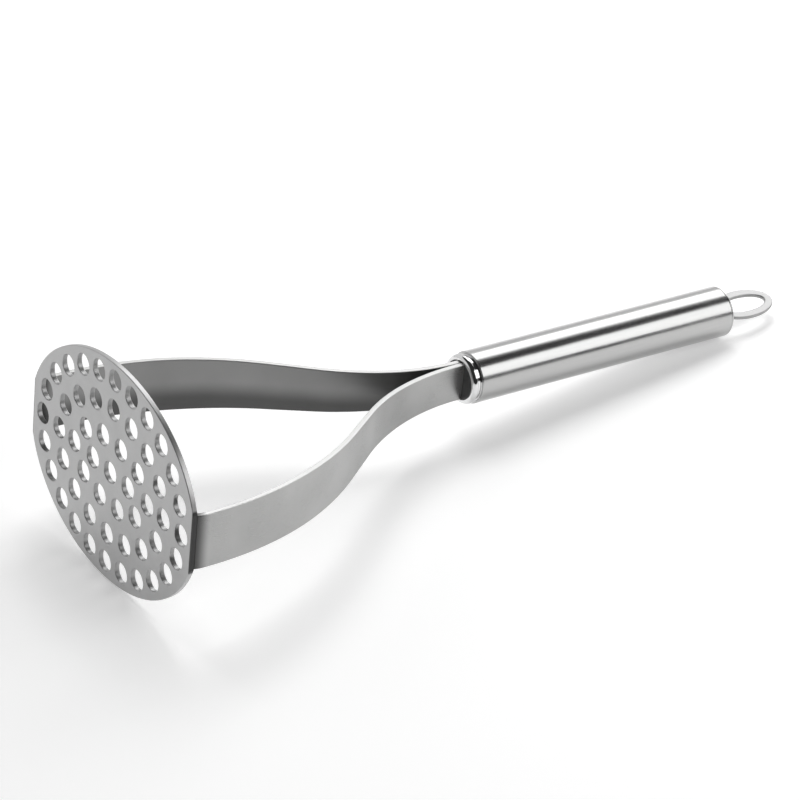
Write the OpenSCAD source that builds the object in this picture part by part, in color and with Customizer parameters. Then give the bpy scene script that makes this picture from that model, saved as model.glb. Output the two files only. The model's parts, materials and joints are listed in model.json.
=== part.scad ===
// Potato masher: a perforated oval plate with a strap welded behind each of its two flats. The
// straps draw together into the front end of a tubular handle with a hanging eye at its rear end.
//
// Every sub-part is first built in the tool's own frame: X along the handle's axis, from the
// plate's pressing face at X = 0 towards the eye, Y across the two straps, Z across their width.
// lay_down() then rests the whole tool on a table, on the plate's lower rim and the handle's
// rear end, with the origin at the middle of its footprint.

/* [Plate] */
// Long diameter of the oval that the plate is cut from
plate_long = 108.4; // [106:0.2:112]
// Distance between the plate's two flats, where the straps are welded on
plate_flats = 104.8; // [104:0.1:105.4]
// Short diameter of the oval plate
plate_short = 84.4; // [80:0.2:96]
// Thickness of the sheet that the plate and the straps are made of
sheet = 2; // [1.5:0.1:2.4]
// Diameter of the holes
hole_d = 7.9; // [5:0.1:8.4]
// Width of the bevel round the edges of the holes
hole_bevel = 0.35; // [0.1:0.05:0.5]

/* [Straps] */
// Largest distance between the outer faces of the two straps, just behind the plate
strap_spread = 105.9; // [105.6:0.1:107]
// Width of a strap at the plate
strap_w = 21; // [18:0.5:24]
// Where a strap starts to curve inwards, from the pressing face
shoulder_x = 7.8; // [6.2:0.2:14]
// Outer radius of the shoulder, where a strap turns towards the handle
shoulder_r = 128; // [95:1:132]
// Outer radius of the waist, where a strap turns back along the handle
waist_r = 88; // [75:1:98]
// Slope of a strap between its shoulder and its waist, in degrees
strap_slope = 35.5; // [28:0.1:38]
// Width of the two tangs where they enter the handle
tang_w = 14.6; // [10:0.2:14.6]
// Thickness of the two tangs together
tang_t = 4.2; // [4.1:0.1:4.8]

/* [Handle] */
// Outer diameter of the handle tube
handle_d = 19.8; // [19.4:0.1:22]
// Length of the handle tube
handle_l = 119.6; // [90:0.2:140]
// Wall of the handle tube
tube_wall = 0.8; // [0.6:0.05:0.9]

/* [Hanging eye] */
// Length of the eye's oval
eye_long = 27.8; // [24:0.2:30]
// Width of the eye's oval
eye_wide = 15.2; // [13:0.2:17]
// Width of the eye's band
eye_band = 3.25; // [2.5:0.05:3.6]
// Thickness of the eye's strip
eye_t = 1.4; // [1:0.1:2]
// Angle of the eye about the handle's axis, against the plate's long diameter, in degrees
eye_roll = 12.4; // [-20:0.2:20]

/* [Hidden] */
$fn = 96;

// Rings of holes: long semi-axis, short semi-axis, count
HOLE_RINGS = [[24.2, 12.3, 10], [34.6, 24.65, 16], [45.9, 36, 24]];
// Distance of the two inner holes from the one at the centre
core_pitch = 11.6;
// Points of each oval outline, and steps that its length is summed in
oval_points = 144;
oval_steps = 360;
// Points of a strap's long arcs, of the short one next to the plate, and of small rounded edges
arc_steps = 16;
toe_steps = 6;
nose_steps = 8;
edge_steps = 4;
// How far a cutter runs past the face that it cuts
over = 1;

// Where the straps' width starts and stops shrinking, from the pressing face
taper_start = 41;
taper_end = 147;
taper_steps = 16;
// Length of the tangs inside the handle
tang_l = 40;

// The strap's toe: its outer face starts flush with the plate's flat and swells to its full spread
spread_y = strap_spread / 2;
toe_x = 6;
toe_l = toe_x - sheet;
toe_drop = spread_y - plate_flats / 2;
toe_r = (toe_l * toe_l + toe_drop * toe_drop) / (2 * toe_drop);
toe_angle = asin(toe_l / toe_r);

// The strap's outer face from the shoulder to the tang: drops and ends of its three stretches
tang_y = tang_t / 2;
shoulder_drop = shoulder_r * (1 - cos(strap_slope));
waist_drop = waist_r * (1 - cos(strap_slope));
slope_drop = spread_y - tang_y - shoulder_drop - waist_drop;
waist_x = shoulder_x + (shoulder_r + waist_r) * sin(strap_slope) + slope_drop / tan(strap_slope);

// Ferrule: a polished bead in front of a groove, on a spigot that fits the tube
waist_gap = 0.9;
bead_l = 2.1;
bead_nose_r = 1.6;
bead_back_r = 0.3;
bead_inset = 0.4;
groove_l = 1.7;
groove_depth = 0.7;
spigot_l = 6;
ferrule_bore_r = 7.7;
bead_front_x = waist_x + waist_gap;
bead_x = bead_front_x + bead_l;
tube_x = bead_x + groove_l;
ferrule_end_x = tube_x + spigot_l;
handle_r = handle_d / 2;
tube_inner_r = handle_r - tube_wall;
bead_r = handle_r - bead_inset;
groove_r = bead_r - groove_depth;
// The plug's face lies this far behind the bead's nose
plug_inset = 0.1;

// Tube and cap at the rear end of the handle
tube_end_x = tube_x + handle_l;
tube_front_edge = 0.4;
tube_edge = 0.2;
cap_rim_r = 0.8;
cap_rim_land = 0.25;
cap_dome_h = 0.8;
cap_spigot_l = 8;
cap_face_x = tube_end_x + cap_rim_land + cap_rim_r;
cap_dome_r = handle_r - cap_rim_r;
cap_dome_sphere_r = (cap_dome_r * cap_dome_r + cap_dome_h * cap_dome_h) / (2 * cap_dome_h);

// Eye: its oval starts just inside the cap, and a tab runs through a slot in the cap
eye_sink = 0.3;
eye_tab_w = 7.6;
eye_tab_l = 5;
eye_x = tube_end_x - eye_sink + eye_long / 2;
eye_tab_x = tube_end_x - eye_tab_l;
eye_tab_end_x = cap_face_x + cap_dome_h;

// Resting attitude: the tilt at which the plate's lower rim and the cap's rim touch one plane
plate_r = plate_short / 2;
rim_span_x = tube_end_x + cap_rim_land - sheet;
rim_span_z = plate_r - (handle_r - cap_rim_r);
lay_tilt = acos(cap_rim_r / norm([rim_span_x, rim_span_z])) - atan2(rim_span_x, rim_span_z);
floor_z = plate_r * cos(lay_tilt) + sheet * sin(lay_tilt);
// Ends of the lying tool along the table
low_x = -plate_r * sin(lay_tilt);
eye_half_x = norm([eye_long / 2 * cos(lay_tilt), eye_wide / 2 * sin(eye_roll) * sin(lay_tilt)]);
high_x = eye_x * cos(lay_tilt) + eye_half_x + eye_t / 2 * cos(eye_roll) * sin(lay_tilt);

// Points of a circular arc
function arc(centre, radius, from, to, steps) =
    [for (i = [0:steps]) let (a = from + (to - from) * i / steps)
        centre + radius * [cos(a), sin(a)]];

// A point of an oval, and the points of its outline
function oval_point(long, short, a) = [long * cos(a), short * sin(a)];
function oval(long, short) =
    [for (i = [0:oval_points - 1]) oval_point(long, short, 360 * i / oval_points)];

// Table of [length along the oval, angle], for places at equal distances along it
function oval_step(long, short, i) =
    norm(oval_point(long, short, 360 * (i + 1) / oval_steps)
        - oval_point(long, short, 360 * i / oval_steps));
function oval_table(long, short) =
    [for (i = 0, s = 0; i <= oval_steps; s = s + oval_step(long, short, i), i = i + 1)
        [s, 360 * i / oval_steps]];
function oval_places(long, short, count) =
    let (table = oval_table(long, short), around = table[oval_steps][0])
    [for (k = [0:count - 1]) oval_point(long, short, lookup(around * k / count, table))];

// Centres of all the holes
function hole_centres() = concat(
    [for (k = [-1:1]) [k * core_pitch, 0]],
    [for (ring = HOLE_RINGS) each oval_places(ring[0], ring[1], ring[2])]);

// One face of a strap in the X-Y plane, at a depth below the strap's outer face. It starts
// inside the plate; strap() trims it to the plate's back face.
function strap_face(depth) = concat(
    arc([toe_x, spread_y - toe_r], toe_r - depth, 90 + 2 * toe_angle, 90, toe_steps),
    arc([shoulder_x, spread_y - shoulder_r], shoulder_r - depth, 90, 90 - strap_slope, arc_steps),
    arc([waist_x, tang_y + waist_r], waist_r + depth, 270 - strap_slope, 270, arc_steps),
    [[waist_x + tang_l, tang_y - depth]]);

// Half the strap's width at a distance from the pressing face, shrinking with a smooth blend
function blend(k) = k * k * (3 - 2 * k);
function strap_half_w(x) =
    let (k = min(max((x - taper_start) / (taper_end - taper_start), 0), 1))
    (strap_w - (strap_w - tang_w) * blend(k)) / 2;
function strap_edge(side) = concat(
    [[sheet, side * strap_w / 2]],
    [for (i = [0:taper_steps]) let (x = taper_start + (taper_end - taper_start) * i / taper_steps)
        [x, side * strap_half_w(x)]],
    [[waist_x + tang_l + over, side * tang_w / 2]]);

function reversed(points) = [for (i = [len(points) - 1:-1:0]) points[i]];

// Rests the tool on the table, with the origin under the middle of its box
module lay_down() {
    translate([-(low_x + high_x) / 2, 0, floor_z]) rotate([0, lay_tilt, 0]) children();
}

// Turns a shape built along Z, or an outline in the X-Y plane, to the handle's axis
module along_handle(x = 0) {
    translate([x, 0, 0]) rotate([0, 90, 0]) children();
}
module facing_handle(x = 0) {
    translate([x, 0, 0]) rotate([90, 0, 90]) children();
}

// Cuts one hole with bevelled edges, from below the pressing face to above the back face
module hole_cutter() {
    r = hole_d / 2;
    flare = r + hole_bevel + over;
    rotate_extrude($fn = 48) polygon([
        [0, -over], [flare, -over], [r, hole_bevel],
        [r, sheet - hole_bevel], [flare, sheet + over], [0, sheet + over]]);
}

// Perforated plate: an oval with two flats
module masher_plate() {
    color([0.70, 0.70, 0.71]) lay_down() difference() {
        facing_handle() linear_extrude(sheet) intersection() {
            polygon(oval(plate_long / 2, plate_short / 2));
            square([plate_flats, plate_short + 2 * over], center = true);
        }
        for (centre = hole_centres())
            translate([0, centre[0], centre[1]]) along_handle() hole_cutter();
    }
}

// One strap with its tang: the bent ribbon, trimmed to the plate's back face and the strap's width
module strap() {
    intersection() {
        translate([0, 0, -strap_w]) linear_extrude(2 * strap_w)
            polygon(concat(strap_face(0), reversed(strap_face(sheet))));
        translate([0, spread_y + over, 0]) rotate([90, 0, 0]) linear_extrude(spread_y + 2 * over)
            polygon(concat(strap_edge(-1), reversed(strap_edge(1))));
    }
}

module strap_left() {
    color([0.68, 0.68, 0.69]) lay_down() strap();
}

module strap_right() {
    color([0.68, 0.68, 0.69]) lay_down() mirror([0, 1, 0]) strap();
}

// Polished bead and groove at the front of the handle, on a spigot inside the tube
module front_ferrule() {
    nose = arc([bead_r - bead_nose_r, bead_front_x + bead_nose_r], bead_nose_r, -90, 0, nose_steps);
    back = arc([bead_r - bead_back_r, bead_x - bead_back_r], bead_back_r, 0, 90, edge_steps);
    color([0.86, 0.86, 0.88]) lay_down() along_handle() rotate_extrude() polygon(concat(
        [[ferrule_bore_r, bead_front_x + plug_inset]], nose, back,
        [[groove_r, bead_x], [groove_r, tube_x], [tube_inner_r, tube_x],
            [tube_inner_r, ferrule_end_x], [ferrule_bore_r, ferrule_end_x]]));
}

// Dark plug that closes the ferrule round the two tangs
module tang_plug() {
    plug_x = bead_front_x + plug_inset;
    plug_l = ferrule_end_x - plug_x;
    color([0.16, 0.16, 0.17]) lay_down() difference() {
        along_handle(plug_x) cylinder(h = plug_l, r = ferrule_bore_r);
        translate([plug_x + plug_l / 2, 0, 0]) cube([plug_l + 2 * over, tang_t, tang_w], center = true);
    }
}

// Handle tube with slightly rounded ends
module handle_tube() {
    front = arc([handle_r - tube_front_edge, tube_x + tube_front_edge], tube_front_edge,
        -90, 0, edge_steps);
    rear = arc([handle_r - tube_edge, tube_end_x - tube_edge], tube_edge, 0, 90, edge_steps);
    color([0.76, 0.76, 0.77]) lay_down() along_handle() rotate_extrude() polygon(concat(
        [[tube_inner_r, tube_x]], front, rear, [[tube_inner_r, tube_end_x]]));
}

// Domed cap with a spigot inside the tube and a slot for the eye's tab
module rear_cap() {
    rim_start = arc([handle_r - tube_edge, tube_end_x + tube_edge], tube_edge, -90, 0, edge_steps);
    rim = arc([handle_r - cap_rim_r, tube_end_x + cap_rim_land], cap_rim_r, 0, 90, nose_steps);
    dome_angle = asin(cap_dome_r / cap_dome_sphere_r);
    dome = arc([0, cap_face_x + cap_dome_h - cap_dome_sphere_r], cap_dome_sphere_r,
        90 - dome_angle, 90, nose_steps);
    spigot_x = tube_end_x - cap_spigot_l;
    color([0.72, 0.72, 0.73]) lay_down() difference() {
        along_handle() rotate_extrude() polygon(concat(
            [[0, spigot_x], [tube_inner_r, spigot_x], [tube_inner_r, tube_end_x]], rim_start, rim, dome));
        rotate([eye_roll, 0, 0]) translate([eye_tab_x, -eye_tab_w / 2, -eye_t / 2])
            cube([eye_tab_end_x - eye_tab_x + over, eye_tab_w, eye_t]);
    }
}

// Flat oval eye with a tab that runs into the cap
module hanging_eye() {
    color([0.80, 0.80, 0.81]) lay_down() rotate([eye_roll, 0, 0])
        translate([0, 0, -eye_t / 2]) linear_extrude(eye_t) difference() {
            union() {
                translate([eye_x, 0]) polygon(oval(eye_long / 2, eye_wide / 2));
                translate([eye_tab_x, -eye_tab_w / 2]) square([cap_face_x - eye_tab_x, eye_tab_w]);
            }
            translate([eye_x, 0]) polygon(oval(eye_long / 2 - eye_band, eye_wide / 2 - eye_band));
        }
}

masher_plate();
strap_left();
strap_right();
front_ferrule();
tang_plug();
handle_tube();
rear_cap();
hanging_eye();
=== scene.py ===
import json
from math import asin, atan2, ceil, cos, degrees, pi, radians, sin, sqrt, tan

import bmesh
import bpy
from mathutils import Matrix, Vector


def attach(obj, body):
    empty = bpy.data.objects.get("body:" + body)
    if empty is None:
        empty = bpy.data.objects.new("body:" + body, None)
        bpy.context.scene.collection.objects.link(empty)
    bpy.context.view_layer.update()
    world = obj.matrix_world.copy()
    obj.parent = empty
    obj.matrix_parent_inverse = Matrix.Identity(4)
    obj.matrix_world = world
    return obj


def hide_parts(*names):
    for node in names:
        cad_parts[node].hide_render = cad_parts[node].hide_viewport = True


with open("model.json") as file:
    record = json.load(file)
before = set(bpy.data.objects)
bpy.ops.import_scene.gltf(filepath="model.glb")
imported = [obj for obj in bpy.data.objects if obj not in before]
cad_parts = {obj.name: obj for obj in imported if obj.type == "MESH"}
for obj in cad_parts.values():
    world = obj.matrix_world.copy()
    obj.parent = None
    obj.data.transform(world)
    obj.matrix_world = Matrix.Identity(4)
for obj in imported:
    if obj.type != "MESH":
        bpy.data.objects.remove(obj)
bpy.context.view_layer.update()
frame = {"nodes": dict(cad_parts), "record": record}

MM = 0.001
MOUNTS = {mount["name"]: mount for mount in frame["record"]["mounts"]}


# ---------------------------------------------------------------- the tool's own frame
# X along the handle from the plate's pressing face towards the eye, Y across the straps,
# Z across the straps' width. Pieces are built in millimetres here and then laid down.

def tool_matrix():
    along = Vector(MOUNTS["handle_grip"]["axis"]).normalized()
    across = Vector((0, 1, 0))
    up = along.cross(across).normalized()
    grip = Vector(MOUNTS["handle_grip"]["pos_m"])
    face = Vector(MOUNTS["pressing_face"]["pos_m"])
    origin = grip + along * (face - grip).dot(along)
    return Matrix.Translation(origin) @ Matrix((along, across, up)).transposed().to_4x4()


TOOL = tool_matrix()


def tool_box(node):
    """Lowest and highest corner of a CAD node in the tool's frame, in millimetres."""
    inverse = TOOL.inverted()
    piece = frame["nodes"][node]
    points = [inverse @ (piece.matrix_world @ v.co) / MM for v in piece.data.vertices]
    return tuple(Vector(f(p[i] for p in points) for i in range(3)) for f in (min, max))


PLATE = tool_box("masher_plate")
STRAP = tool_box("strap_left")
FERRULE = tool_box("front_ferrule")
PLUG = tool_box("tang_plug")
TUBE = tool_box("handle_tube")
CAP = tool_box("rear_cap")

# Plate and straps, in millimetres and radians: what the boxes above don't say
SHEET = 2.0
PLATE_LONG_R = 54.2
HOLE_R = 3.95
# Rings of holes: long semi-axis, short semi-axis, count
HOLE_RINGS = ((24.2, 12.3, 10), (34.6, 24.65, 16), (45.9, 36.0, 24))
# Distance of the two inner holes from the one at the centre
CORE_PITCH = 11.6
STRAP_W = 21.0
TANG_W = 14.6
TANG_Y = 2.1
TOE_X = 6.0
SHOULDER_X = 7.8
SHOULDER_R = 128.0
WAIST_R = 88.0
STRAP_SLOPE = radians(35.5)
TAPER = (41.0, 147.0)
WAIST_GAP = 0.9
EDGE_R = 0.3
# How near a face's middle lies to a surface that it is part of
TOUCH = 0.02
# Points of a mesh that are closer than this are one point
SAME_PLACE = 0.002
# Millimetres to one unit of the flat blank's coordinates, which the grain follows
FLAT_UNIT = 100

# Handle and eye
TUBE_WALL = 0.8
BEAD_L = 2.1
BEAD_NOSE_R = 1.6
GROOVE_DEPTH = 0.7
CAP_RIM_R = 0.8
CAP_LAND = 0.25
CAP_DOME_H = 0.8
EYE_LONG_R = 13.9
EYE_WIDE_R = 7.6
EYE_BAND = 3.25
EYE_T = 1.4
EYE_EDGE_R = 0.35
EYE_TAB_W = 7.6
EYE_TAB_L = 5.0

PLATE_FLAT_Y = PLATE[1].y
PLATE_SHORT_R = PLATE[1].z
SPREAD_Y = STRAP[1].y
WAIST_X = FERRULE[0].x - WAIST_GAP
TANG_END_X = STRAP[1].x

HANDLE_R = TUBE[1].y
SPIGOT_R = HANDLE_R - TUBE_WALL
BORE_R = PLUG[1].z


# ---------------------------------------------------------------- mesh helpers

def finish_piece(name, mesh, node, material):
    """Puts a mesh made in tool millimetres in the row frame and lets it stand for its CAD node."""
    sharp_from = radians(35)
    piece = bpy.data.objects.new(name, mesh)
    bpy.context.scene.collection.objects.link(piece)
    mesh.transform(TOOL @ Matrix.Scale(MM, 4))
    mesh.shade_smooth()
    mesh.set_sharp_from_angle(angle=sharp_from)
    weighted = piece.modifiers.new("weighted", "WEIGHTED_NORMAL")
    weighted.keep_sharp = True
    mesh.materials.clear()
    mesh.materials.append(material)
    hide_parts(node)
    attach(piece, "root")


def close_faces(work):
    """Merges doubled points, drops slivers and turns every face outwards."""
    bmesh.ops.remove_doubles(work, verts=work.verts, dist=SAME_PLACE)
    bmesh.ops.dissolve_degenerate(work, edges=work.edges, dist=SAME_PLACE / 2)
    bmesh.ops.recalc_face_normals(work, faces=work.faces)
    if work.calc_volume(signed=True) < 0:
        bmesh.ops.reverse_faces(work, faces=work.faces)


def oval(long, short, steps):
    """Points of an oval about the origin."""
    turns = [2 * pi * i / steps for i in range(steps)]
    return [(long * cos(turn), short * sin(turn)) for turn in turns]


def arc(centre_x, centre_r, radius, start, stop, steps):
    """Points (x, r) of an arc in a lathe profile; 0 degrees points outwards and 90 rearwards."""
    angles = [radians(start + (stop - start) * i / steps) for i in range(steps + 1)]
    return [(centre_x + radius * sin(a), centre_r + radius * cos(a)) for a in angles]


def sheet_mesh(name, outlines, thickness, edge):
    """A flat sheet with rounded edges from closed outlines; the inner ones are its holes."""
    curve = bpy.data.curves.new(name, "CURVE")
    curve.dimensions = "2D"
    curve.fill_mode = "BOTH"
    curve.extrude = thickness / 2 - edge
    curve.bevel_depth = edge
    curve.bevel_resolution = 3
    curve.offset = -edge
    for points in outlines:
        spline = curve.splines.new("POLY")
        spline.points.add(len(points) - 1)
        for target, (x, y) in zip(spline.points, points):
            target.co = (x, y, 0, 1)
        spline.use_cyclic_u = True
    holder = bpy.data.objects.new(name, curve)
    bpy.context.scene.collection.objects.link(holder)
    graph = bpy.context.evaluated_depsgraph_get()
    mesh = bpy.data.meshes.new_from_object(holder.evaluated_get(graph))
    bpy.data.objects.remove(holder)
    work = bmesh.new()
    work.from_mesh(mesh)
    close_faces(work)
    work.to_mesh(mesh)
    work.free()
    return mesh


def lathe_mesh(name, profile, steps=192):
    """A closed profile of (x, radius) points turned about the handle's axis."""
    mesh = bpy.data.meshes.new(name)
    work = bmesh.new()
    rings = []
    for x, r in profile:
        if r < SAME_PLACE:
            rings.append([work.verts.new((x, 0, 0))] * steps)
        else:
            rings.append([work.verts.new((x, y, z)) for y, z in oval(r, r, steps)])
    for near, far in zip(rings, rings[1:] + rings[:1]):
        for k in range(steps):
            corners = (near[k], near[(k + 1) % steps], far[(k + 1) % steps], far[k])
            unique = list(dict.fromkeys(corners))
            if len(unique) > 2:
                work.faces.new(unique)
    close_faces(work)
    work.to_mesh(mesh)
    work.free()
    return mesh


# ---------------------------------------------------------------- plate and straps

def oval_places(long, short, count):
    """Places at equal distances along an oval."""
    points = oval(long, short, 1440)
    points.append(points[0])
    travelled = [0.0]
    for a, b in zip(points, points[1:]):
        travelled.append(travelled[-1] + sqrt((b[0] - a[0]) ** 2 + (b[1] - a[1]) ** 2))
    places = []
    i = 0
    for k in range(count):
        while travelled[i + 1] <= travelled[-1] * k / count:
            i += 1
        places.append(points[i])
    return places


def hole_centres():
    """Three holes in the middle and the rings round them."""
    centres = [(k * CORE_PITCH, 0.0) for k in (-1, 0, 1)]
    for long, short, count in HOLE_RINGS:
        centres += oval_places(long, short, count)
    return centres


def store_flat(work):
    """Keeps the flat blank's coordinates, which the sheet's grain follows after bending."""
    flat = work.loops.layers.uv.new("flat")
    for face in work.faces:
        for loop in face.loops:
            loop[flat].uv = (loop.vert.co.x / FLAT_UNIT, loop.vert.co.y / FLAT_UNIT)


def plate_outline():
    """The oval with its two flats."""
    points = [(y, z) for y, z in oval(PLATE_LONG_R, PLATE_SHORT_R, 192) if abs(y) < PLATE_FLAT_Y]
    corner_z = PLATE_SHORT_R * sqrt(1 - (PLATE_FLAT_Y / PLATE_LONG_R) ** 2)
    corners = [(side * PLATE_FLAT_Y, end * corner_z) for side in (-1, 1) for end in (-1, 1)]
    return sorted(points + corners, key=lambda point: atan2(point[1], point[0]))


def make_plate(material):
    """The perforated plate, with the walls of its holes and flats marked."""
    circle = oval(HOLE_R, HOLE_R, 48)
    holes = [[(cy + y, cz + z) for y, z in circle] for cy, cz in hole_centres()]
    mesh = sheet_mesh("masher_plate_steel", [plate_outline()] + holes, SHEET, EDGE_R)
    work = bmesh.new()
    work.from_mesh(mesh)
    store_flat(work)
    # The marked walls get painted shade (a darker colour) and a rougher finish in the sheet's material
    wall = work.faces.layers.float.new("wall")
    wall_half = SHEET / 2 - EDGE_R + TOUCH
    for face in work.faces:
        y, z, height = face.calc_center_median()
        on_oval_rim = (y / PLATE_LONG_R) ** 2 + (z / PLATE_SHORT_R) ** 2 > 0.97
        face[wall] = 1.0 if abs(height) < wall_half and not on_oval_rim else 0.0
    work.to_mesh(mesh)
    work.free()
    upright = Matrix(((0, 0, -1), (1, 0, 0), (0, -1, 0))).to_4x4()
    mesh.transform(Matrix.Translation((SHEET / 2, 0, 0)) @ upright)
    finish_piece("masher_plate_steel", mesh, "masher_plate", material)


def strap_stretches():
    """The strap's middle line as (length, turn) stretches, from the plate to the tang's end."""
    half = SHEET / 2
    toe_l = TOE_X - SHEET
    toe_drop = SPREAD_Y - PLATE_FLAT_Y
    toe_r = (toe_l ** 2 + toe_drop ** 2) / (2 * toe_drop)
    toe_angle = asin(toe_l / toe_r)
    drop = SPREAD_Y - TANG_Y - (SHOULDER_R + WAIST_R) * (1 - cos(STRAP_SLOPE))
    return toe_angle, (
        ((toe_r - half) * toe_angle, -toe_angle),
        (SHOULDER_X - TOE_X, 0.0),
        ((SHOULDER_R - half) * STRAP_SLOPE, -STRAP_SLOPE),
        (drop / sin(STRAP_SLOPE), 0.0),
        ((WAIST_R + half) * STRAP_SLOPE, STRAP_SLOPE),
        (TANG_END_X - WAIST_X, 0.0),
    )


TOE_ANGLE, STRETCHES = strap_stretches()
STRAP_LENGTH = sum(length for length, turn in STRETCHES)


def strap_place(travelled):
    """Point and heading of the strap's middle line after a distance from the plate."""
    half = SHEET / 2
    point = Vector((SHEET + half * sin(TOE_ANGLE), PLATE_FLAT_Y - half * cos(TOE_ANGLE)))
    heading = TOE_ANGLE
    for length, turn in STRETCHES:
        part = min(travelled, length)
        bend = turn * part / length
        if turn:
            radius = length / abs(turn)
            chord = 2 * radius * sin(abs(bend) / 2)
        else:
            chord = part
        middle = heading + bend / 2
        point += chord * Vector((cos(middle), sin(middle)))
        heading += bend
        travelled -= part
        if travelled <= 0:
            break
    return point, heading


def strap_half_w(x):
    """Half the strap's width, which shrinks smoothly towards the tang."""
    k = min(max((x - TAPER[0]) / (TAPER[1] - TAPER[0]), 0.0), 1.0)
    return (STRAP_W - (STRAP_W - TANG_W) * k * k * (3 - 2 * k)) / 2


def strap_outline():
    """Outline of the straight ribbon. Its early start is squeezed flat on the plate when it is bent."""
    cuts = 60
    upper = [(-2 * EDGE_R, STRAP_W / 2)]
    for i in range(cuts + 1):
        travelled = STRAP_LENGTH * i / cuts
        upper.append((travelled, strap_half_w(strap_place(travelled)[0].x)))
    return upper + [(x, -y) for x, y in reversed(upper)]


def cut_across(work):
    """Cuts the straight ribbon across wherever it will bend."""
    degrees_per_cut = 1.2
    fewest_cuts = 4
    start = 0.0
    for length, turn in STRETCHES:
        steps = max(fewest_cuts, ceil(abs(degrees(turn)) / degrees_per_cut))
        for i in range(steps):
            bmesh.ops.bisect_plane(
                work, geom=work.verts[:] + work.edges[:] + work.faces[:], dist=1e-5,
                plane_co=(start + length * i / steps, 0, 0), plane_no=(1, 0, 0))
        start += length


def mark_faces(work):
    """Marks the ribbon's inner face and its edges, which get painted shade (inner face) and painted
    highlights (edges) in colour, and a rougher finish.
    """
    inner = work.faces.layers.float.new("inner")
    edge = work.faces.layers.float.new("edge")
    for face in work.faces:
        height = face.calc_center_median().z
        face[inner] = 1.0 if height < -SHEET / 2 + TOUCH else 0.0
        face[edge] = 1.0 if abs(height) < SHEET / 2 - TOUCH else 0.0


def bend_strap(mesh, side):
    """Bends the straight ribbon into the strap on one side of the handle's axis."""
    work = bmesh.new()
    work.from_mesh(mesh)
    cut_across(work)
    store_flat(work)
    mark_faces(work)
    for vert in work.verts:
        travelled, across, out = vert.co
        point, heading = strap_place(max(travelled, 0.0))
        x = point.x - sin(heading) * out
        y = point.y + cos(heading) * out
        if travelled <= 0:
            y -= (x - SHEET) * tan(heading)
            x = SHEET
        vert.co = (x, side * y, across)
    close_faces(work)
    work.to_mesh(mesh)
    work.free()


def make_strap(node, side, material):
    """One strap with its tang, on the given side of the handle's axis."""
    mesh = sheet_mesh(node + "_steel", [strap_outline()], SHEET, EDGE_R)
    bend_strap(mesh, side)
    finish_piece(node + "_steel", mesh, node, material)


# ---------------------------------------------------------------- handle parts

def make_ferrule(material):
    """A rounded bead in front of a groove, on a spigot; its front lips over the plug's edge."""
    front, end = FERRULE[0].x, FERRULE[1].x
    bead_r = FERRULE[1].z
    bead_back = front + BEAD_L
    back_r = 0.45
    groove_r = bead_r - GROOVE_DEPTH
    groove_fillet = 0.1
    lip = 0.12
    nose_start = -97
    profile = [(end, BORE_R), (PLUG[0].x + lip, BORE_R)]
    profile += arc(front + BEAD_NOSE_R, bead_r - BEAD_NOSE_R, BEAD_NOSE_R, nose_start, 0, 20)
    profile += arc(bead_back - back_r, bead_r - back_r, back_r, 0, 90, 8)
    profile += [(bead_back, groove_r + groove_fillet), (bead_back + groove_fillet, groove_r)]
    profile += [(TUBE[0].x, groove_r), (TUBE[0].x, SPIGOT_R), (end, SPIGOT_R)]
    mesh = lathe_mesh("front_ferrule_polished", profile)
    finish_piece("front_ferrule_polished", mesh, "front_ferrule", material)


def make_plug(material):
    """The disc in the ferrule, slotted for the two tangs; its near-black colour is painted shade of a
    dark recess.
    """
    fit = 0.03
    edge = 0.06
    disc = oval(BORE_R - fit, BORE_R - fit, 128)
    half_t = TANG_Y + fit
    half_w = TANG_W / 2 + fit
    slot = [(-half_t, -half_w), (half_t, -half_w), (half_t, half_w), (-half_t, half_w)]
    length = PLUG[1].x - PLUG[0].x
    mesh = sheet_mesh("tang_plug_dark", [disc, slot], length, edge)
    upright = Matrix(((0, 0, 1), (1, 0, 0), (0, 1, 0))).to_4x4()
    mesh.transform(Matrix.Translation(((PLUG[0].x + PLUG[1].x) / 2, 0, 0)) @ upright)
    finish_piece("tang_plug_dark", mesh, "tang_plug", material)


def make_tube(material):
    """The handle's tube, with rounded ends and rings along it for an even shade."""
    front_r = 0.4
    rear_r = 0.22
    rings = 24
    start, end = TUBE[0].x, TUBE[1].x
    straight = end - rear_r - start - front_r
    profile = [(end, SPIGOT_R), (start, SPIGOT_R)]
    profile += arc(start + front_r, HANDLE_R - front_r, front_r, -90, 0, 8)
    profile += [(start + front_r + straight * i / rings, HANDLE_R) for i in range(1, rings)]
    profile += arc(end - rear_r, HANDLE_R - rear_r, rear_r, 0, 90, 6)
    mesh = lathe_mesh("handle_tube_brushed", profile, 256)
    finish_piece("handle_tube_brushed", mesh, "handle_tube", material)


def make_cap(material):
    """The rear cap: a spigot, a rounded rim behind the seam and a shallow dome."""
    seam_r = 0.22
    seam = TUBE[1].x
    flat_r = HANDLE_R - CAP_RIM_R
    face = seam + CAP_LAND + CAP_RIM_R
    sphere_r = (flat_r ** 2 + CAP_DOME_H ** 2) / (2 * CAP_DOME_H)
    half = degrees(asin(flat_r / sphere_r))
    profile = [(CAP[0].x, 0.0), (CAP[0].x, SPIGOT_R), (seam, SPIGOT_R)]
    profile += arc(seam + seam_r, HANDLE_R - seam_r, seam_r, -90, 0, 6)
    profile += arc(seam + CAP_LAND, flat_r, CAP_RIM_R, 10, 84, 10)
    profile += arc(face + CAP_DOME_H - sphere_r, 0, sphere_r, 90 - half, 90, 16)
    mesh = lathe_mesh("rear_cap_steel", profile)
    finish_piece("rear_cap_steel", mesh, "rear_cap", material)


def eye_frame():
    """The eye's roll about the handle's axis, and its centre's place along that axis."""
    normal = TOOL.to_3x3().inverted() @ Vector(MOUNTS["hanging_eye"]["axis"])
    centre = TOOL.inverted() @ Vector(MOUNTS["hanging_eye"]["pos_m"]) / MM
    roll = Matrix.Rotation(atan2(-normal.y, normal.z), 4, "X")
    return roll, centre.x


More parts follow.
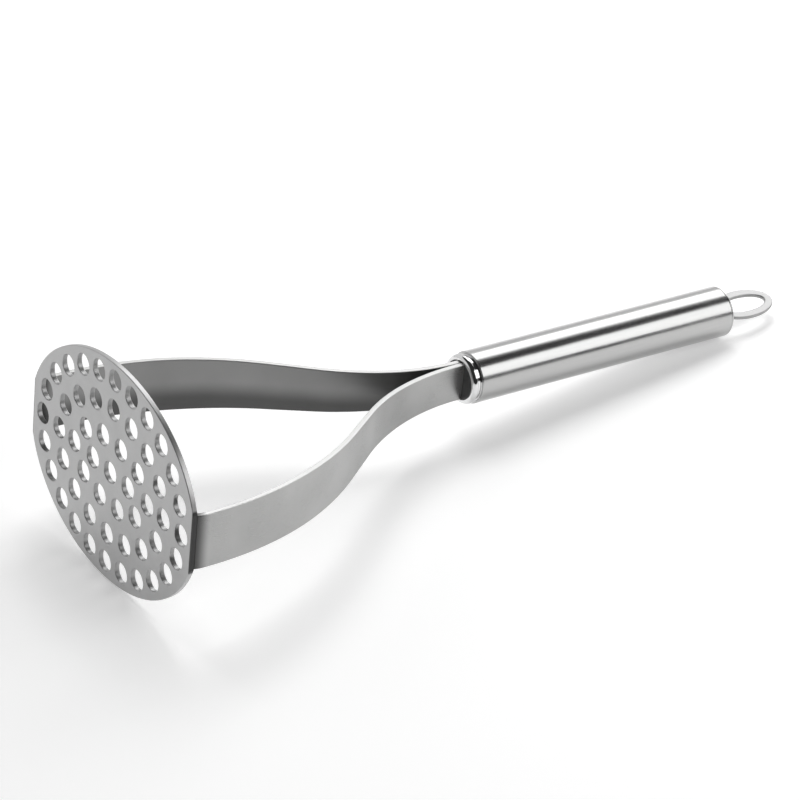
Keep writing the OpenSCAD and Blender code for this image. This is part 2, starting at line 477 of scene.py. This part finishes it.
def make_eye(material):
    """A flat oval ring that runs into a tab in the cap."""
    steps = 120
    roll, centre_x = eye_frame()
    tab_half = EYE_TAB_W / 2
    tab_end = TUBE[1].x - EYE_TAB_L - centre_x
    open_turn = pi - asin(tab_half / EYE_WIDE_R)
    outer = []
    for k in range(steps + 1):
        turn = -open_turn + 2 * open_turn * k / steps
        outer.append((EYE_LONG_R * cos(turn), EYE_WIDE_R * sin(turn)))
    outer += [(tab_end, tab_half), (tab_end, -tab_half)]
    inner = oval(EYE_LONG_R - EYE_BAND, EYE_WIDE_R - EYE_BAND, steps)
    mesh = sheet_mesh("hanging_eye_steel", [outer, inner], EYE_T, EYE_EDGE_R)
    mesh.transform(roll @ Matrix.Translation((centre_x, 0, 0)))
    finish_piece("hanging_eye_steel", mesh, "hanging_eye", material)


# ---------------------------------------------------------------- materials

class Nodes:
    """Short names for the node kinds that the materials and the world are made of."""

    def __init__(self, owner):
        owner.use_nodes = True
        self.owner = owner
        self.tree = owner.node_tree
        self.shader = self.tree.nodes.get("Principled BSDF")
        self.coords = self.new("TexCoord")

    def new(self, kind):
        return self.tree.nodes.new("ShaderNode" + kind)

    def link(self, source, target):
        self.tree.links.new(source, target)

    def tool_coordinates(self):
        """Object coordinates turned to the handle's axis, so that X runs along it."""
        node = self.new("VectorRotate")
        node.rotation_type = "AXIS_ANGLE"
        node.inputs["Axis"].default_value = (0, 1, 0)
        along = Vector(MOUNTS["handle_grip"]["axis"])
        node.inputs["Angle"].default_value = -atan2(-along.z, along.x)
        self.link(self.coords.outputs["Object"], node.inputs["Vector"])
        return node.outputs["Vector"]

    def flat_coordinates(self):
        """Coordinates of the flat blank, before the sheet was bent."""
        node = self.new("UVMap")
        node.uv_map = "flat"
        return node.outputs["UV"]

    def parts(self, vector):
        """The X, Y and Z of a vector."""
        node = self.new("SeparateXYZ")
        self.link(vector, node.inputs["Vector"])
        return node.outputs

    def noise(self, vector, stretch, detail=3.0):
        """Noise of about one cell per unit, after stretching the coordinates."""
        mapping = self.new("Mapping")
        mapping.inputs["Scale"].default_value = stretch
        self.link(vector, mapping.inputs["Vector"])
        node = self.new("TexNoise")
        node.inputs["Scale"].default_value = 1.0
        node.inputs["Detail"].default_value = detail
        node.inputs["Roughness"].default_value = 0.55
        self.link(mapping.outputs["Vector"], node.inputs["Vector"])
        return node.outputs["Fac"]

    def attribute(self, name):
        node = self.new("Attribute")
        node.attribute_name = name
        return node.outputs["Fac"]

    def ramp(self, value, start, end, low, high, kind="LINEAR"):
        """Goes from low to high while a value goes from start to end."""
        node = self.new("MapRange")
        node.interpolation_type = kind
        node.inputs["From Min"].default_value = start
        node.inputs["From Max"].default_value = end
        node.inputs["To Min"].default_value = low
        node.inputs["To Max"].default_value = high
        self.link(value, node.inputs["Value"])
        return node.outputs["Result"]

    def spread(self, noise, low, high):
        """Maps the middle of a noise's range to low..high."""
        return self.ramp(noise, 0.3, 0.7, low, high)

    def fade(self, value, start, end, low, high):
        """Goes smoothly from low to high while a value goes from start to end."""
        return self.ramp(value, start, end, low, high, "SMOOTHSTEP")

    def switch(self, mark, off, on):
        """One value on the faces that a face attribute marks, and another elsewhere."""
        return self.fade(mark, 0.4, 0.6, off, on)

    def math(self, operation, *values):
        node = self.new("Math")
        node.operation = operation
        for value, socket in zip(values, node.inputs):
            self.link(value, socket)
        return node.outputs["Value"]

    def add(self, a, b):
        return self.math("ADD", a, b)

    def times(self, a, b):
        return self.math("MULTIPLY", a, b)

    def tint(self, value, dark, light):
        """A colour between two others, chosen by a value around 0..1."""
        node = self.new("Mix")
        node.data_type = "RGBA"
        node.inputs["A"].default_value = (*dark, 1)
        node.inputs["B"].default_value = (*light, 1)
        self.link(value, node.inputs["Factor"])
        self.link(node.outputs["Result"], self.shader.inputs["Base Color"])

    def rough(self, value):
        self.link(value, self.shader.inputs["Roughness"])

    def bump(self, height, distance):
        node = self.new("Bump")
        node.inputs["Distance"].default_value = distance
        self.link(height, node.inputs["Height"])
        self.link(node.outputs["Normal"], self.shader.inputs["Normal"])


def new_material(name, settings):
    """Nodes of a new material, with some of its shader's inputs set."""
    nodes = Nodes(bpy.data.materials.new(name))
    for socket, value in settings.items():
        nodes.shader.inputs[socket].default_value = value
    return nodes


def satin_sheet():
    """Satin sheet: fine grain along the blank, soft mottling, painted shade and a rougher finish on the
    hole walls, and a painted dark band at the flats where the straps fold away.
    """
    nodes = new_material("satin sheet steel", {"Metallic": 1.0, "Anisotropic": 0.35})
    flat = nodes.flat_coordinates()
    grain = nodes.noise(flat, (14, 520, 1), 4)
    scratches = nodes.noise(flat, (30, 1500, 1), 2)
    mottling = nodes.noise(nodes.coords.outputs["Object"], (90, 90, 90))
    wall = nodes.attribute("wall")

    # Painted shade: a dark band along the plate's flats stands in for the dark reflection where the
    # straps fold away
    from_middle = nodes.math("ABSOLUTE", nodes.parts(flat)["X"])
    painted_band_start = (PLATE_FLAT_Y - 2.2 * EDGE_R) / FLAT_UNIT
    painted_band_end = (PLATE_FLAT_Y - EDGE_R) / FLAT_UNIT
    painted_fold_shade = nodes.fade(from_middle, painted_band_start, painted_band_end, 1.0, 0.16)
    shade = nodes.times(nodes.spread(mottling, 0.90, 1.0), painted_fold_shade)
    # Painted shade: the walls of the holes and flats are darkened in colour; their extra roughness
    # below is a real duller finish
    shade = nodes.times(shade, nodes.switch(wall, 1.0, 0.8))
    nodes.tint(shade, (0.0, 0.0, 0.0), (0.47, 0.47, 0.47))

    rough = nodes.add(nodes.spread(grain, 0.14, 0.20), nodes.spread(mottling, 0.15, 0.20))
    nodes.rough(nodes.add(rough, nodes.switch(wall, 0.0, 0.05)))
    nodes.bump(nodes.add(grain, scratches), 0.000012)
    return nodes.owner


def satin_strap():
    """Strap steel: satin outside; painted shade and a rougher finish between the straps, darkest in a
    lower band; painted highlights and a rougher finish on the edges; a painted dark band where the
    strap leaves the plate.
    """
    nodes = new_material("satin strap steel", {"Metallic": 1.0, "Anisotropic": 0.3})
    flat = nodes.flat_coordinates()
    along, across = nodes.parts(flat)["X"], nodes.parts(flat)["Y"]
    grain = nodes.noise(flat, (20, 900, 1), 4)
    mottling = nodes.noise(nodes.coords.outputs["Object"], (90, 90, 90))
    clouds = nodes.noise(nodes.coords.outputs["Object"], (22, 22, 22), 2)
    inner = nodes.attribute("inner")
    edge = nodes.attribute("edge")
    inner_or_edge = nodes.add(inner, edge)

    # Painted shade: the inner faces between the straps are darkened, most in a band towards the lower
    # side
    lower_painted_shade = nodes.fade(across, -0.06, 0.02, 0.38, 1.0)
    inside_painted_shade = nodes.times(nodes.switch(inner, 0.0, 0.46), lower_painted_shade)
    outside = nodes.switch(inner_or_edge, 0.74, 0.0)
    # Painted highlight: the strap's edges are brightened in colour
    edge_painted_highlight = nodes.switch(edge, 0.0, 1.35)
    # Painted shade: a dark band over the strap's first 5 mm from the plate stands in for the dark
    # reflection at the fold
    painted_fold_shade = nodes.fade(along, 0.0, 0.05, 0.2, 1.0)
    shade = nodes.times(nodes.add(nodes.add(inside_painted_shade, outside), edge_painted_highlight), painted_fold_shade)
    patches = nodes.times(nodes.spread(mottling, 0.96, 1.02), nodes.spread(clouds, 0.86, 1.10))
    nodes.tint(nodes.times(shade, patches), (0.0, 0.0, 0.0), (0.60, 0.60, 0.595))

    rough = nodes.add(nodes.spread(grain, 0.10, 0.16), nodes.spread(mottling, 0.14, 0.18))
    nodes.rough(nodes.add(rough, nodes.switch(inner_or_edge, 0.0, 0.12)))
    nodes.bump(grain, 0.000008)
    return nodes.owner


def brushed_tube():
    """Tube steel with fine lengthwise brushing and a soft sheen."""
    nodes = new_material("brushed tube steel", {"Metallic": 1.0})
    along = nodes.tool_coordinates()
    grain = nodes.noise(along, (60, 3500, 3500), 4)
    blotches = nodes.noise(along, (30, 120, 120))
    nodes.tint(nodes.spread(grain, 0.2, 0.8), (0.44, 0.44, 0.44), (0.51, 0.51, 0.505))
    nodes.rough(nodes.add(nodes.spread(grain, 0.08, 0.13), nodes.spread(blotches, 0.08, 0.12)))
    nodes.bump(grain, 0.000010)
    return nodes.owner


def polished_steel():
    """Mirror-polished bead with hairline marks."""
    nodes = new_material("polished steel", {"Metallic": 1.0})
    marks = nodes.noise(nodes.coords.outputs["Object"], (900, 900, 900))
    nodes.tint(nodes.spread(marks, 0.0, 1.0), (0.70, 0.70, 0.70), (0.76, 0.76, 0.765))
    nodes.rough(nodes.spread(marks, 0.04, 0.09))
    nodes.bump(marks, 0.000004)
    return nodes.owner


def plug_painted_shade():
    """Smooth near-black surface: painted shade standing in for the dark recess in the ferrule."""
    nodes = new_material("plug painted recess shade", {})
    grain = nodes.noise(nodes.coords.outputs["Object"], (1800, 1800, 1800), 4)
    nodes.tint(nodes.spread(grain, 0.0, 1.0), (0.018, 0.018, 0.019), (0.026, 0.026, 0.027))
    nodes.rough(nodes.spread(grain, 0.30, 0.42))
    nodes.bump(grain, 0.000006)
    return nodes.owner


def satin_strip():
    """Satin strip of the eye, with light wear."""
    nodes = new_material("satin strip steel", {"Metallic": 1.0})
    grain = nodes.noise(nodes.tool_coordinates(), (300, 2400, 2400))
    wear = nodes.noise(nodes.coords.outputs["Object"], (250, 250, 250))
    nodes.tint(nodes.spread(wear, 0.1, 0.9), (0.30, 0.30, 0.30), (0.36, 0.36, 0.36))
    nodes.rough(nodes.add(nodes.spread(grain, 0.16, 0.22), nodes.spread(wear, 0.12, 0.18)))
    nodes.bump(grain, 0.000010)
    return nodes.owner


# ---------------------------------------------------------------- studio

CAMERA_AIM = Vector((-0.02487, 0.0, 0.02569))
CAMERA_HEADING = radians(34.741)
CAMERA_ELEVATION = radians(33.073)
CAMERA_ROLL = radians(-0.502)
CAMERA_DISTANCE = 1.24321
SENSOR = 36.0
LENS = 4.2768 * SENSOR


def make_camera():
    """A long lens that looks down at the tool from the plate's side."""
    data = bpy.data.cameras.new("camera")
    data.sensor_width = SENSOR
    data.lens = LENS
    data.clip_start = 0.05
    data.clip_end = 30
    camera = bpy.data.objects.new("camera", data)
    bpy.context.scene.collection.objects.link(camera)
    level = cos(CAMERA_ELEVATION)
    east, north = level * sin(CAMERA_HEADING), level * cos(CAMERA_HEADING)
    forward = Vector((east, north, -sin(CAMERA_ELEVATION)))
    level_right = forward.cross(Vector((0, 0, 1))).normalized()
    level_up = level_right.cross(forward)
    right = level_right * cos(CAMERA_ROLL) + level_up * sin(CAMERA_ROLL)
    turn = Matrix((right, right.cross(forward), -forward)).transposed().to_4x4()
    camera.matrix_world = Matrix.Translation(CAMERA_AIM - forward * CAMERA_DISTANCE) @ turn
    bpy.context.scene.camera = camera


def softbox(name, toward, distance, size, power):
    """A rectangular area light that looks at the middle of the handle."""
    data = bpy.data.lights.new(name, "AREA")
    data.shape = "RECTANGLE"
    data.size, data.size_y = size
    data.energy = power
    light = bpy.data.objects.new(name, data)
    bpy.context.scene.collection.objects.link(light)
    away = Vector(toward).normalized()
    side = away.cross(Vector((1, 0, 0))).normalized()
    turn = Matrix((side.cross(away), side, away)).transposed().to_4x4()
    place = Vector(MOUNTS["handle_grip"]["pos_m"]) + away * distance
    light.matrix_world = Matrix.Translation(place) @ turn
    return light


def make_world():
    """A dim room with a pale wall behind the tool, brightest at the floor."""
    world = bpy.data.worlds.new("studio")
    bpy.context.scene.world = world
    nodes = Nodes(world)
    toward = nodes.parts(nodes.coords.outputs["Generated"])
    low = nodes.fade(toward["Z"], 0.58, 0.78, 1.0, 0.0)
    behind = nodes.fade(toward["Y"], -0.1, 0.4, 0.0, 1.0)
    glow = nodes.ramp(nodes.times(low, behind), 0.0, 1.0, 0.03, 0.80)
    background = nodes.tree.nodes["Background"]
    background.inputs["Color"].default_value = (1, 1, 1, 1)
    nodes.link(glow, background.inputs["Strength"])


def make_floor():
    """A wide, matt, pale floor that glows a little, so that it stays almost white."""
    half = 6.0
    corners = [(-half, -half, 0), (half, -half, 0), (half, half, 0), (-half, half, 0)]
    mesh = bpy.data.meshes.new("floor")
    mesh.from_pydata(corners, [], [(0, 1, 2, 3)])
    floor = bpy.data.objects.new("floor", mesh)
    bpy.context.scene.collection.objects.link(floor)
    nodes = new_material("pale floor", {
        "Base Color": (0.86, 0.86, 0.86, 1),
        "Roughness": 0.9,
        "Specular IOR Level": 0.0,
        "Emission Color": (1, 1, 1, 1),
        "Emission Strength": 0.3,
    })
    mesh.materials.append(nodes.owner)


def handle_direction(angle):
    """Direction that the handle's surface mirrors to the camera, by its angle about the handle."""
    # The part of the direction that lies along the handle is the same all round it
    along = 0.538
    sideways = sqrt(1 - along ** 2)
    turn = radians(angle)
    return TOOL.to_3x3() @ Vector((along, -sideways * sin(turn), sideways * cos(turn)))


def make_lights():
    """Two softboxes that the handle mirrors, and a light that only the floor shows."""
    size = (1.1, 0.62)
    softbox("rear softbox", handle_direction(-30), 1.0, size, 4.6)
    softbox("front softbox", handle_direction(50), 1.0, size, 4.2)
    floor_light = softbox("floor light", (0.1, 0.4, 1.0), 1.6, (0.9, 0.9), 11.0)
    floor_light.visible_glossy = False


# ---------------------------------------------------------------- the scene

make_camera()
make_floor()
make_lights()
make_world()
bpy.context.scene.view_settings.view_transform = "Standard"

make_plate(satin_sheet())
strap_steel = satin_strap()
make_strap("strap_left", 1, strap_steel)
make_strap("strap_right", -1, strap_steel)
make_ferrule(polished_steel())
make_plug(plug_painted_shade())
tube_steel = brushed_tube()
make_tube(tube_steel)
make_cap(tube_steel)
make_eye(satin_strip())
